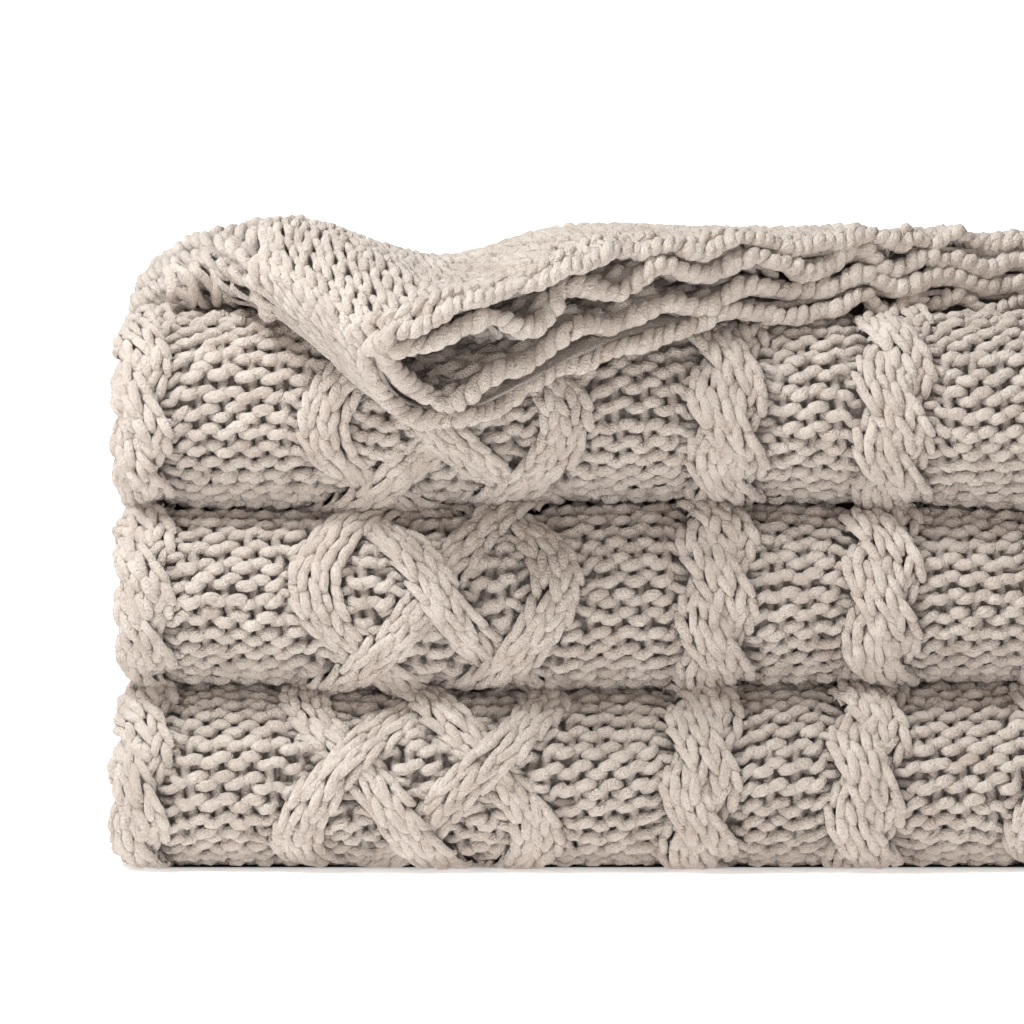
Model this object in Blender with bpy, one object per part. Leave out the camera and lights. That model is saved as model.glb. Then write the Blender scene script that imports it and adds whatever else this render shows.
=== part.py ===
"""Chunky cable-knit throw, folded in four along its length and then back and forth into a stack.

The throw is one knitted panel. Its lengthwise fold (four nested plies, two inside two) is carried along
a zigzag of seven layers: three fat loops at the front, three flat loops at the back, and a loose end on
top whose front left corner is drawn to the right and droops over the top loop.
Metres, +Z up, front towards -Y, origin at the centre of the bottom of the bounding box.
"""
import math

import bpy
from mathutils import Vector

# Cloth
PLY = 0.0068                 # thickness of one ply of the knitting
PLY_PITCH = 0.0078           # from one ply of a layer to the next, with air between
BAND = 3 * PLY_PITCH + PLY   # thickness of a layer of four plies
LAYER_PITCH = BAND + 0.0015
COLOUR = (0.60, 0.50, 0.43, 1.0)
ROUGHNESS = 0.95

# Stack
WIDTH = 0.385                # left to right, the width of the folded strip
RUN = 0.133                  # straight run of a layer between a front and a back loop
TAIL = 0.018                 # the lowest layer runs on this far behind the back loops' centres
FRONT_RADII = (0.0187, 0.0187, 0.0213)   # centre line of each front loop, from the lowest up
BACK_RADIUS = LAYER_PITCH / 2
HEIGHT = 2 * sum(FRONT_RADII) + len(FRONT_RADII) * LAYER_PITCH   # top of the highest front loop
RISE_POWER = 1.6             # layers climb towards the fat front loops late in their run

# Facets
FRONT_SEGMENTS = 6           # round each front loop
BACK_SEGMENTS = 6            # round each back loop
OUTER_SEGMENTS = 6           # round the outer lengthwise fold
INNER_SEGMENTS = 4           # round each tight lengthwise fold
ACROSS = (0.050, 0.085, 0.120, 0.165, 0.225, 0.300)           # lines along each ply
LAST_STEPS = (0.12, 0.25, 0.38, 0.50, 0.62, 0.74, 0.87, 1.0)   # lines across the loose end

# The loose end's centre surface runs from the top back loop through three places on each line:
# its middle, above the crest of the top loop, and its free edge. Each place is x, y, z.
PLACES_ALONG = (0.0, 0.30, 0.62, 1.0)
LOOSE_END = (
    # across  middle                  crest                     free edge
    (0.000, (0.000, 0.002, 0.2155), (0.032, -0.068, 0.2240), (0.096, -0.138, 0.1930)),
    (0.030, (0.031, 0.002, 0.2170), (0.060, -0.077, 0.2300), (0.124, -0.139, 0.2070)),
    (0.060, (0.062, 0.002, 0.2170), (0.089, -0.078, 0.2304), (0.150, -0.129, 0.2086)),
    (0.100, (0.104, 0.002, 0.2162), (0.123, -0.073, 0.2334), (0.185, -0.117, 0.2166)),
    (0.150, (0.155, 0.002, 0.2180), (0.168, -0.065, 0.2292), (0.232, -0.097, 0.2238)),
    (0.220, (0.226, 0.006, 0.2165), (0.238, -0.048, 0.2270), (0.294, -0.069, 0.2270)),
    (0.300, (0.306, 0.012, 0.2125), (0.315, -0.031, 0.2222), (0.354, -0.044, 0.2238)),
    (0.385, (0.390, 0.018, 0.2112), (0.394, -0.021, 0.2196), (0.406, -0.035, 0.2222)),
)

# How far the plies stand apart at the free edge, as multiples of their pitch in the stack.
OPENING_START = 0.52         # share of the loose end where they begin to part
OPENING = (
    # across  outer  inner
    (0.000, 1.65, 2.85),
    (0.030, 2.25, 4.20),
    (0.060, 2.00, 1.92),
    (0.100, 1.80, 2.05),
    (0.150, 1.18, 1.55),
    (0.220, 0.97, 0.97),
    (0.385, 0.97, 0.97),
)

# Unevenness
SAG = 0.018                  # the top loop gives way under the drooping corner
SAG_X = 0.121
SAG_SPREAD = 0.025
SAG_FLOOR = 0.145            # nothing lower sags
FLAT_HEIGHT = 0.020          # what lies lower stays flat on the surface
WAVE = 0.0013                # slow waves along the loops
LEAN = 0.0025                # the top of the stack lies this far to the right of its foot
FULLNESS = 0.05              # the stack is this share deeper in its middle than at its two sides


def smooth(value):
    """Ease from 0 to 1 while the value goes from 0 to 1."""
    value = min(max(value, 0.0), 1.0)
    return value * value * (3 - 2 * value)


def curve(places, values, place, start_slope=None):
    """Value of the smooth curve through the points, between its first and last place."""
    last = len(places) - 1
    i = 0
    while i < last - 1 and place > places[i + 1]:
        i += 1
    slopes = []
    for j in (i, i + 1):
        a = max(j - 1, 0)
        b = min(j + 1, last)
        slopes.append((values[b] - values[a]) / (places[b] - places[a]))
    if i == 0 and start_slope is not None:
        slopes[0] = start_slope
    span = places[i + 1] - places[i]
    t = min(max((place - places[i]) / span, 0.0), 1.0)
    start = values[i] * ((1 + 2 * t) * (1 - t) ** 2) + slopes[0] * (span * t * (1 - t) ** 2)
    end = values[i + 1] * (t * t * (3 - 2 * t)) + slopes[1] * (span * t * t * (t - 1))
    return start + end


def fold_line():
    """Centre line of the four nested plies, from selvedge to selvedge, as (across, height, part)."""
    half = PLY_PITCH / 2
    left = BAND / 2
    right = WIDTH - PLY / 2 - half
    line = [(WIDTH - PLY, -3 * half, "outer")]
    line += [(x, -3 * half, "outer") for x in reversed(ACROSS)]
    for i in range(OUTER_SEGMENTS + 1):
        angle = math.pi * i / OUTER_SEGMENTS
        line.append((left - 3 * half * math.sin(angle), -3 * half * math.cos(angle), "outer"))
    line += [(x, 3 * half, "outer") for x in ACROSS]
    for i in range(INNER_SEGMENTS + 1):
        angle = math.pi * i / INNER_SEGMENTS
        part = "outer" if 2 * i < INNER_SEGMENTS else "inner"
        line.append((right + half * math.sin(angle), 2 * half + half * math.cos(angle), part))
    line += [(x, half, "inner") for x in reversed(ACROSS)]
    for i in range(INNER_SEGMENTS + 1):
        angle = math.pi * i / INNER_SEGMENTS
        line.append((left - half * math.sin(angle), half * math.cos(angle), "inner"))
    line += [(x, -half, "inner") for x in ACROSS]
    line.append((WIDTH - 2 * PLY, -half, "inner"))
    return line


def fold_section():
    """Closed outline of the nested plies: (across, height, part, offset across, offset height)."""
    line = fold_line()
    near = []
    far = []
    for i, (x, n, part) in enumerate(line):
        before = line[max(i - 1, 0)]
        after = line[min(i + 1, len(line) - 1)]
        along = Vector((after[0] - before[0], after[1] - before[1])).normalized() * (PLY / 2)
        near.append((x, n, part, along.y, -along.x))
        far.append((x, n, part, -along.y, along.x))
    return near + far[::-1]


def run_height(share, back_z, front_z):
    """Height of a layer's centre line, a share of the way from its back loop to its front loop."""
    return back_z + (front_z - back_z) * smooth(share ** RISE_POWER)


def run_middle(back_z, front_z, side):
    """The point halfway along a layer and the direction there; side is -1 towards the front."""
    nudge = 0.01
    z = run_height(0.5, back_z, front_z)
    climb = run_height(0.5 + nudge, back_z, front_z) - z
    direction = Vector((side * RUN * nudge, -side * climb)).normalized()
    return Vector((0.0, z)), direction


def loop_round(y, z, radius, segments, side):
    """Points and directions round one loop, bottom to top; side is -1 at the front, 1 at the back."""
    result = []
    for i in range(segments + 1):
        angle = math.pi * i / segments
        place = Vector((y + side * radius * math.sin(angle), z - radius * math.cos(angle)))
        direction = Vector((side * math.cos(angle), math.sin(angle)))
        result.append((place, direction))
    return result


def stack_line():
    """Centre line of the six lower layers with their loops, as (place, direction) in y and z."""
    line = [(Vector((RUN / 2 + TAIL, BAND / 2)), Vector((-1, 0))),
            (Vector((RUN / 2, BAND / 2)), Vector((-1, 0)))]
    low_front = BAND / 2
    low_back = BAND / 2
    for radius in FRONT_RADII:
        high_front = low_front + 2 * radius
        high_back = low_back + LAYER_PITCH
        line.append(run_middle(low_back, low_front, -1))
        line += loop_round(-RUN / 2, low_front + radius, radius, FRONT_SEGMENTS, -1)
        line.append(run_middle(high_back, high_front, 1))
        line += loop_round(RUN / 2, high_back + BACK_RADIUS, BACK_RADIUS, BACK_SEGMENTS, 1)
        low_front = high_front + LAYER_PITCH
        low_back = high_back + LAYER_PITCH
    return line


def loose_centre(across, along):
    """Centre surface of the loose end: across the strip, and from 0 at the back loop to 1."""
    places = [row[0] for row in LOOSE_END]
    top = BAND / 2 + 2 * len(FRONT_RADII) * LAYER_PITCH
    points = [Vector((across, RUN / 2, top))]
    for column in (1, 2, 3):
        points.append(curve(places, [Vector(row[column]) for row in LOOSE_END], across))
    reach = (points[1].y - points[0].y) / PLACES_ALONG[1]
    return curve(PLACES_ALONG, points, along, start_slope=Vector((0, reach, 0)))


def opening(across, along, part):
    """How far the plies of the loose end stand apart, as a multiple of their pitch."""
    column = 1 if part == "outer" else 2
    at_edge = curve([row[0] for row in OPENING], [row[column] for row in OPENING], across)
    share = smooth((along - OPENING_START) / (1 - OPENING_START))
    return 1 + (at_edge - 1) * share


def loose_point(point, along):
    """Where a point of the section lies on the loose end."""
    x, n, part, x_offset, n_offset = point
    across = x + x_offset
    height = n * opening(x, along, part) + n_offset
    step = 0.002
    a = min(max(across, step), WIDTH - step)
    b = min(max(along, step), 1 - step)
    rightward = loose_centre(a + step, b) - loose_centre(a - step, b)
    onward = loose_centre(a, b + step) - loose_centre(a, b - step)
    down = rightward.cross(onward).normalized()
    return loose_centre(across, along) + down * height


def uneven(point):
    """The point moved by the stack's unevenness, with its foot kept flat."""
    x, y, z = point
    lift = smooth((z - FLAT_HEIGHT) / FLAT_HEIGHT)
    under_corner = math.exp(-((x - SAG_X) / SAG_SPREAD) ** 2 / 2)
    x += LEAN * smooth(z / HEIGHT) + WAVE * lift * math.sin(30 * z + 9 * y)
    y += 2 * WAVE * lift * math.sin(42 * z + 14 * x)
    z += WAVE * lift * math.sin(24 * z + 21 * x)
    z -= SAG * under_corner * smooth((point.z - SAG_FLOOR) / (HEIGHT - SAG_FLOOR))
    y *= 1 + FULLNESS * (1 - (2 * point.x / WIDTH - 1) ** 2)
    return Vector((x, y, z))


def throw_rings():
    """The outline of the nested plies at each station of the zigzag."""
    outline = fold_section()
    rings = []
    for place, direction in stack_line():
        outward = Vector((-direction.y, direction.x))
        ring = []
        for x, n, part, x_offset, n_offset in outline:
            height = n + n_offset
            ring.append(Vector((x + x_offset, place.x + outward.x * height, place.y + outward.y * height)))
        rings.append(ring)
    for along in LAST_STEPS:
        rings.append([loose_point(point, along) for point in outline])
    return [[uneven(point) for point in ring] for ring in rings]


def throw_mesh():
    """One closed mesh: rings joined in order, with a strip of facets over each end."""
    rings = throw_rings()
    count = len(rings[0])
    points = [point for ring in rings for point in ring]
    low = [min(point[axis] for point in points) for axis in range(3)]
    high = [max(point[axis] for point in points) for axis in range(3)]
    origin = Vector(((low[0] + high[0]) / 2, (low[1] + high[1]) / 2, low[2]))
    faces = []
    across = [point[0] + point[3] for point in fold_section()]
    for ring in range(len(rings) - 1):
        for i in range(count):
            j = (i + 1) % count
            a = ring * count
            b = a + count
            if across[i] < across[j]:
                faces += [(a + i, b + i, b + j), (a + i, b + j, a + j)]
            else:
                faces += [(a + i, b + i, a + j), (b + i, b + j, a + j)]
    first = 0
    last = (len(rings) - 1) * count
    for i in range(count // 2 - 1):
        opposite = count - 1 - i
        faces.append((first + i, first + i + 1, first + opposite - 1, first + opposite))
        faces.append((last + i, last + opposite, last + opposite - 1, last + i + 1))
    mesh = bpy.data.meshes.new("throw")
    mesh.from_pydata([point - origin for point in points], [], faces)
    mesh.validate()
    return mesh


def yarn_material():
    material = bpy.data.materials.new("oatmeal_chenille_yarn")
    material.use_nodes = True
    shader = material.node_tree.nodes["Principled BSDF"]
    shader.inputs["Base Color"].default_value = COLOUR
    shader.inputs["Roughness"].default_value = ROUGHNESS
    shader.inputs["Metallic"].default_value = 0.0
    return material


def main():
    for item in list(bpy.data.objects):
        bpy.data.objects.remove(item, do_unlink=True)
    throw = bpy.data.objects.new("throw", throw_mesh())
    throw.data.materials.append(yarn_material())
    throw.data.shade_smooth()
    bpy.context.scene.collection.objects.link(throw)


main()
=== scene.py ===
"""Chunky cable-knit throw, folded: its yarn, cables and edges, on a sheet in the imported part's folds.

Lengths are metres. The cloth is described in its own terms and mapped onto the fold:
  place   along the section of the four nested plies, from one selvedge to the other
  run     along the zigzag of layers, from the free edge below to the free edge on top
  lift    away from the middle of the ply, towards the outside of the fold
The knitting has terms of its own, measured on the outside of the fold:
  across  from the left end of a ply, towards the right
  along   from the free edge below
  height  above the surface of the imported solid
"""
from collections import namedtuple
from math import ceil, cos, floor, pi, sin

import bpy
import numpy as np
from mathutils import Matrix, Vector


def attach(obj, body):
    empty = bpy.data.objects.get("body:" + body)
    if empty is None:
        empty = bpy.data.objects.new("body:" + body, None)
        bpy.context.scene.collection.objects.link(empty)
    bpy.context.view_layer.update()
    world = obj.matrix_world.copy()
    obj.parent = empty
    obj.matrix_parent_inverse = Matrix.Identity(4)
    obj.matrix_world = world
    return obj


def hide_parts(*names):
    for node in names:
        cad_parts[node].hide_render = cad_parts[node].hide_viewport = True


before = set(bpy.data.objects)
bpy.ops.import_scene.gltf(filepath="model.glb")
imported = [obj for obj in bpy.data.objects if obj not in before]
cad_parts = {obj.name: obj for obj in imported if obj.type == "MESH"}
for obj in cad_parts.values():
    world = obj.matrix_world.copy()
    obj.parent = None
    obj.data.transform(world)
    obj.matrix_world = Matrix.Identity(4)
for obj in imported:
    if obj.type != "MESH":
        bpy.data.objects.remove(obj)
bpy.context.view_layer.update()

# ---- the fold, as the CAD part has it
PLY = 0.0068             # thickness of one ply of the solid
PLY_PITCH = 0.0078       # from one ply of a layer to the next, with air between
BAND = 3 * PLY_PITCH + PLY  # thickness of a layer of four plies
LAYER_PITCH = BAND + 0.0015
WIDTH = 0.385            # left to right, the width of the folded strip
RUN = 0.133              # straight run of a layer between a front and a back loop
TAIL = 0.018             # the lowest layer runs on this far behind the back loops' centres
FRONT_RADII = (0.0187, 0.0187, 0.0213)  # centre line of each front loop, from the lowest up
BACK_RADIUS = LAYER_PITCH / 2
HEIGHT = 2 * sum(FRONT_RADII) + len(FRONT_RADII) * LAYER_PITCH  # top of the highest front loop
RISE_POWER = 1.6         # layers climb towards the fat front loops late in their run
LOOSE_RUN = 0.185        # length of the loose end
ORIGIN = np.array((0.204161, -0.030159, 0.0))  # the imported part's, in the fold's terms

# The loose end's centre surface runs from the top back loop through three places on each line:
# its middle, above the crest of the top loop, and its free edge. Each place is x, y, z.
PLACES_ALONG = (0.0, 0.30, 0.62, 1.0)
LOOSE_END = (
    # across  middle                  crest                     free edge
    (0.000, (0.000, 0.002, 0.2155), (0.032, -0.068, 0.2240), (0.096, -0.138, 0.1930)),
    (0.030, (0.031, 0.002, 0.2170), (0.060, -0.077, 0.2300), (0.124, -0.139, 0.2070)),
    (0.060, (0.062, 0.002, 0.2170), (0.089, -0.078, 0.2304), (0.150, -0.129, 0.2086)),
    (0.100, (0.104, 0.002, 0.2162), (0.123, -0.073, 0.2334), (0.185, -0.117, 0.2166)),
    (0.150, (0.155, 0.002, 0.2180), (0.168, -0.065, 0.2292), (0.232, -0.097, 0.2238)),
    (0.220, (0.226, 0.006, 0.2165), (0.238, -0.048, 0.2270), (0.294, -0.069, 0.2270)),
    (0.300, (0.306, 0.012, 0.2125), (0.315, -0.031, 0.2222), (0.354, -0.044, 0.2238)),
    (0.385, (0.390, 0.018, 0.2112), (0.394, -0.021, 0.2196), (0.406, -0.035, 0.2222)),
)

# How far the plies stand apart at the free edge, as multiples of their pitch in the stack.
OPENING_START = 0.52     # share of the loose end where they begin to part
OPENING = (
    # across  outer  inner
    (0.000, 1.65, 2.85),
    (0.030, 2.25, 4.20),
    (0.060, 2.00, 1.92),
    (0.100, 1.80, 2.05),
    (0.150, 1.18, 1.55),
    (0.220, 0.97, 0.97),
    (0.385, 0.97, 0.97),
)
INNER_EASE = 0.004       # outer gives way to inner over this much of the right fold

# Unevenness
SAG = 0.018              # the top loop gives way under the drooping corner
SAG_X = 0.121
SAG_SPREAD = 0.025
SAG_FLOOR = 0.145        # nothing lower sags
FLAT_HEIGHT = 0.020      # what lies lower stays flat on the floor
WAVE = 0.0013            # slow waves along the loops
LEAN = 0.0025            # the top of the stack lies this far to the right of its foot
FULLNESS = 0.05          # the stack is this share deeper in its middle than at its two sides

# Ripples of the plies at the free edge, in the scene alone: height, length and start of each wave.
RIPPLE_START = 0.72      # share of the loose end where they begin
OUTER_RIPPLE = (0.0008, 0.021, 0.0)
INNER_RIPPLE = (-0.0032, 0.036, 0.038)
INNER_DROP = 0.0006
CALM = 0.65              # the inner plies ripple this share less at the right
CALM_START = 0.11
CALM_EASE = 0.08
SLACK_RIPPLES = ((0.0016, 0.047, 0.021), (0.0008, 0.026, 0.0))  # all plies, at the right
INNER_SLACK = (0.0016, 0.036, -0.003438)
SLACK_START = 0.10
SLACK_EASE = 0.05


def smooth(value):
    """Ease from 0 to 1 while the value goes from 0 to 1."""
    value = np.clip(value, 0.0, 1.0)
    return value * value * (3 - 2 * value)


def unit(vectors):
    """The vectors at length 1, those of length 0 left as they are."""
    return vectors / (np.linalg.norm(vectors, axis=-1)[..., None] + 1e-12)


def curve(places, values, place, start_slope=None):
    """Smooth curve through the rows of values, at each place of an array.

    values is (knots, ...) or, where every place has knots of its own, (knots, places, ...).
    """
    places = np.asarray(places, float)
    own = values.ndim == 3
    last = len(places) - 1
    before, after = (np.clip(np.arange(last + 1) + way, 0, last) for way in (-1, 1))
    gaps = (places[after] - places[before]).reshape((-1,) + (1,) * (values.ndim - 1))
    slopes = (values[after] - values[before]) / gaps
    if start_slope is not None:
        slopes[0] = start_slope
    i = np.clip(np.searchsorted(places, place, side="left") - 1, 0, last - 1)
    span = places[i + 1] - places[i]
    t = np.clip((place - places[i]) / span, 0.0, 1.0)
    here, onward = ((j, np.arange(len(place))) if own else (j,) for j in (i, i + 1))
    if values.ndim > 1:
        t = t[:, None]
        span = span[:, None]
    start = values[here] * ((1 + 2 * t) * (1 - t) ** 2) + slopes[here] * (span * t * (1 - t) ** 2)
    end = values[onward] * (t * t * (3 - 2 * t)) + slopes[onward] * (span * t * t * (t - 1))
    return start + end


def steps(line):
    """Distances from each point of a line to the next."""
    return np.linalg.norm(np.diff(line, axis=0), axis=1)


def summed(values):
    """Running totals, from 0."""
    return np.concatenate(([0], np.cumsum(values)))


def measured(line):
    """Distance along a line of points from its start, and its direction at each point."""
    length = summed(steps(line))
    return length, unit(np.gradient(line, length, axis=0))


def joined(parts):
    """One array from parts that each start where the one before ends."""
    return np.concatenate([parts[0]] + [part[1:] for part in parts[1:]])


# ---- section of the nested plies
def section_line():
    """Centre line of the four plies in small steps, and the places where each ply or fold ends."""
    half = PLY_PITCH / 2
    left = BAND / 2
    right = WIDTH - PLY / 2 - half
    turn = np.linspace(0, pi, 49)

    def ply(start, end, level):
        return np.column_stack((np.linspace(start, end, 90), np.full(90, level * half)))

    def fold(middle, level, out, up):
        return np.column_stack((middle + out * half * np.sin(turn), (level + up * np.cos(turn)) * half))

    parts = [ply(WIDTH - PLY, left, -3), fold(left, 0, -3, -3), ply(left, right, 3), fold(right, 2, 1, 1),
             ply(right, left, 1), fold(left, 0, -1, 1), ply(left, WIDTH - 2 * PLY, -1)]
    line = joined(parts)
    place, direction = measured(line)
    return place, line, direction, place[np.cumsum([len(part) - 1 for part in parts])]


PLACE, SECTION, SECTION_WAY, PLY_ENDS = section_line()
BACK_LEFT = PLY_ENDS[0]  # left end of the outer ply that shows on the back loops and on top
FACE_START = PLY_ENDS[1]  # the front face of a loop starts here, after the left fold
FACE_END = PLY_ENDS[2]   # and turns in here, at the right fold
INNER_START = PLY_ENDS[3]  # right end of the first inner ply, after the right fold
INNER_LEFT = PLY_ENDS[4]  # left end of the first inner ply
PANEL_WIDTH = PLY_ENDS[-1]
FACE = FACE_END - FACE_START
TURN = INNER_START - FACE_END  # the tight right fold, along the middle of the ply
FOLD_STRETCH = (BAND / 2) / (1.5 * PLY_PITCH)  # outside of the left fold over its middle
TURN_STRETCH = (PLY_PITCH / 2 + PLY / 2) / (PLY_PITCH / 2)  # the same for the tight right fold
INNER_SHARE = smooth((PLACE - (FACE_END + INNER_START) / 2) / INNER_EASE + 0.5)


# ---- zigzag of the layers
def stack_line():
    """Centre line of the six lower layers in small steps, and where its loops are at their fullest."""
    count = 60
    share = np.linspace(0, 1, count + 1)
    turn = np.linspace(0, pi, count + 1)

    def layer(back, front):
        return np.column_stack((RUN / 2 - RUN * share, back + (front - back) * smooth(share ** RISE_POWER)))

    def loop(side, low, radius):
        return np.column_stack((side * (RUN / 2 + radius * np.sin(turn)), low + radius * (1 - np.cos(turn))))

    parts = [np.array([(RUN / 2 + TAIL, BAND / 2), (RUN / 2 + TAIL / 2, BAND / 2), (RUN / 2, BAND / 2)])]
    low_front = BAND / 2
    low_back = BAND / 2
    for radius in FRONT_RADII:
        high_front = low_front + 2 * radius
        high_back = low_back + LAYER_PITCH
        parts += [layer(low_back, low_front), loop(-1, low_front, radius),
                  layer(high_back, high_front)[::-1], loop(1, high_back, BACK_RADIUS)]
        low_front = high_front + LAYER_PITCH
        low_back = high_back + LAYER_PITCH
    line = joined(parts)
    run, direction = measured(line)
    front = len(parts[0]) - 1 + count + count // 2 + 4 * count * np.arange(len(FRONT_RADII))
    back = front + 2 * count
    return run, line, direction, run[front], run[back]


STACK_PLACE, STACK, STACK_WAY, FRONT_RUNS, BACK_RUNS = stack_line()
STACK_RUN = STACK_PLACE[-1]
TOTAL_RUN = STACK_RUN + LOOSE_RUN
FLOOR_GAP = 0.0002       # yarn lies flat where it meets the floor, this far above it


def loose_centre(across, along):
    """Centre surface of the loose end: across the strip, and from 0 at the back loop to 1."""
    places = [row[0] for row in LOOSE_END]
    top = BAND / 2 + 2 * len(FRONT_RADII) * LAYER_PITCH
    knots = [np.column_stack((across, np.full(len(across), RUN / 2), np.full(len(across), top)))]
    for column in (1, 2, 3):
        knots.append(curve(places, np.array([row[column] for row in LOOSE_END]), across))
    reach = np.zeros((len(across), 3))
    reach[:, 1] = (knots[1][:, 1] - knots[0][:, 1]) / PLACES_ALONG[1]
    return curve(PLACES_ALONG, np.stack(knots), along, start_slope=reach)


def opening(across, along, inner):
    """How far the plies of the loose end stand apart, as a multiple of their pitch."""
    places = [row[0] for row in OPENING]
    outer_edge, inner_edge = (curve(places, np.array([row[i] for row in OPENING]), across) for i in (1, 2))
    at_edge = outer_edge + (inner_edge - outer_edge) * inner
    share = smooth((along - OPENING_START) / (1 - OPENING_START))
    return 1 + (at_edge - 1) * share


def wave(across, height, length, start):
    return height * np.sin(2 * pi * (across - start) / length)


def ripple(across, along, inner):
    """How far the plies' edges ripple up and down at the free edge, the two inner ones the most."""
    share = smooth((along - RIPPLE_START) / (1 - RIPPLE_START))
    calm = 1 - CALM * smooth((across - CALM_START) / CALM_EASE)
    inner_wave = (wave(across, *INNER_RIPPLE) - INNER_DROP) * calm
    slack = sum(wave(across, *row) for row in SLACK_RIPPLES) + inner * wave(across, *INNER_SLACK)
    slack = slack * smooth((across - SLACK_START) / SLACK_EASE)
    return share * (inner * inner_wave + (1 - inner) * wave(across, *OUTER_RIPPLE) + slack)


def loose_point(x, n, inner, x_offset, n_offset, along):
    """Where points of the section lie on the loose end, and a little beyond its edges."""
    across = x + x_offset
    height = n * opening(x, along, inner) + n_offset + ripple(x, along, inner)
    step = 0.002
    a = np.clip(across, step, WIDTH - step)
    b = np.clip(along, step, 1 - step)
    rightward = loose_centre(a + step, b) - loose_centre(a - step, b)
    onward = loose_centre(a, b + step) - loose_centre(a, b - step)
    down = unit(np.cross(rightward, onward))
    inside = np.clip(across, 0, WIDTH)
    beyond = (across - inside)[:, None] * unit(rightward)
    over = (along - np.clip(along, 0, 1))[:, None] * onward / (2 * step)
    return loose_centre(inside, np.clip(along, 0, 1)) + beyond + over + down * height[:, None]


def uneven(points):
    """The points moved by the stack's unevenness, with its foot kept flat."""
    x, y, z = points.T
    lift = smooth((z - FLAT_HEIGHT) / FLAT_HEIGHT)
    under_corner = np.exp(-((x - SAG_X) / SAG_SPREAD) ** 2 / 2)
    new_x = x + LEAN * smooth(z / HEIGHT) + WAVE * lift * np.sin(30 * z + 9 * y)
    new_y = y + 2 * WAVE * lift * np.sin(42 * z + 14 * new_x)
    new_z = z + WAVE * lift * np.sin(24 * z + 21 * new_x)
    new_z -= SAG * under_corner * smooth((z - SAG_FLOOR) / (HEIGHT - SAG_FLOOR))
    new_y *= 1 + FULLNESS * (1 - (2 * x / WIDTH - 1) ** 2)
    return np.column_stack((new_x, new_y, new_z))


def cloth(place, run, lift):
    """Where points of the cloth lie in space. The three arrays have any one shape."""
    shape = np.broadcast(place, run, lift).shape
    place, run, lift = (np.broadcast_to(a, shape).ravel().astype(float) for a in (place, run, lift))
    inside = np.clip(place, 0, PANEL_WIDTH)
    x, n = (np.interp(inside, PLACE, SECTION[:, i]) for i in (0, 1))
    way_x, way_n = (np.interp(inside, PLACE, SECTION_WAY[:, i]) for i in (0, 1))
    x = x + (place - inside) * way_x
    x_offset = -way_n * lift
    n_offset = way_x * lift
    kept = np.clip(run, 0, STACK_RUN)
    y, z = (np.interp(kept, STACK_PLACE, STACK[:, i]) for i in (0, 1))
    way_y, way_z = (np.interp(kept, STACK_PLACE, STACK_WAY[:, i]) for i in (0, 1))
    height = n + n_offset
    points = np.column_stack((x + x_offset, y - way_z * height + (run - kept) * way_y, z + way_y * height))
    loose = run > STACK_RUN
    if loose.any():
        inner = np.interp(inside, PLACE, INNER_SHARE)
        along = (run[loose] - STACK_RUN) / LOOSE_RUN
        points[loose] = loose_point(x[loose], n[loose], inner[loose],
                                    x_offset[loose], n_offset[loose], along)
    points = uneven(points) - ORIGIN
    points[:, 2] = np.maximum(points[:, 2], FLOOR_GAP)
    return points.reshape(shape + (3,))


# ---- distances on the outside of the fold
def outside_line():
    """Distance along the outside of the stack for every run: the fuller side of each loop counts."""
    run = np.linspace(0, TOTAL_RUN, 1600)
    halfway = 0.18           # about the middle of either outer ply
    sides = [cloth(place, run, PLY / 2) for place in (FACE_START + halfway, halfway)]
    return run, summed(np.maximum(*(steps(side) for side in sides)))


# Where the loops are at their fullest and the loose end starts, along the outside.
RUNS, OUTSIDE = outside_line()
FRONTS = np.interp(FRONT_RUNS, RUNS, OUTSIDE)
BACKS = np.interp(BACK_RUNS, RUNS, OUTSIDE)
TOP_START = np.interp(STACK_RUN, RUNS, OUTSIDE)
LOOSE_LENGTH = np.interp(TOTAL_RUN, RUNS, OUTSIDE) - TOP_START


def row_run(across, along):
    """Run of a place in a row, for rows that waver gently from side to side."""
    along = along + 0.0006 * np.sin(75 * across + 31 * along) + 0.0005 * np.sin(160 * across - 47 * along)
    return np.interp(along, OUTSIDE, RUNS)


def knit(across, along, height):
    """Points on the knitting: across the front face, or round the fold at either side of it."""
    beyond = across - FACE
    place = np.where(across < 0, FACE_START + across / FOLD_STRETCH, FACE_START + across)
    turned = np.where(beyond < TURN * TURN_STRETCH, beyond / TURN_STRETCH, beyond - TURN * (TURN_STRETCH - 1))
    place = np.where(beyond > 0, FACE_END + turned, place)
    return cloth(place, row_run(across, along), height + PLY / 2)


def back_place(across):
    """Place of a distance across the other outer ply, or round the left fold from it."""
    return np.where(across < 0, BACK_LEFT - across / FOLD_STRETCH, BACK_LEFT - across)


def knit_back(across, along, height):
    """Points on the other outer ply: it shows on the back loops and on top of the loose end."""
    return cloth(back_place(across), row_run(across, along), height + PLY / 2)


# ---- yarn
random = np.random.default_rng(7)
STITCH = 0.0104          # width of a stitch of the purl ground
ROW = 0.0077             # height of a row, on the outside of the stack
STRAND = 0.00232         # radius of the yarn
DEEP = -0.0055           # height of yarn that lies deep in the knitting, where it is painted the darkest shade
WRAP = 0.35              # how far round a half tube reaches beneath the yarn, as an angle


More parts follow.
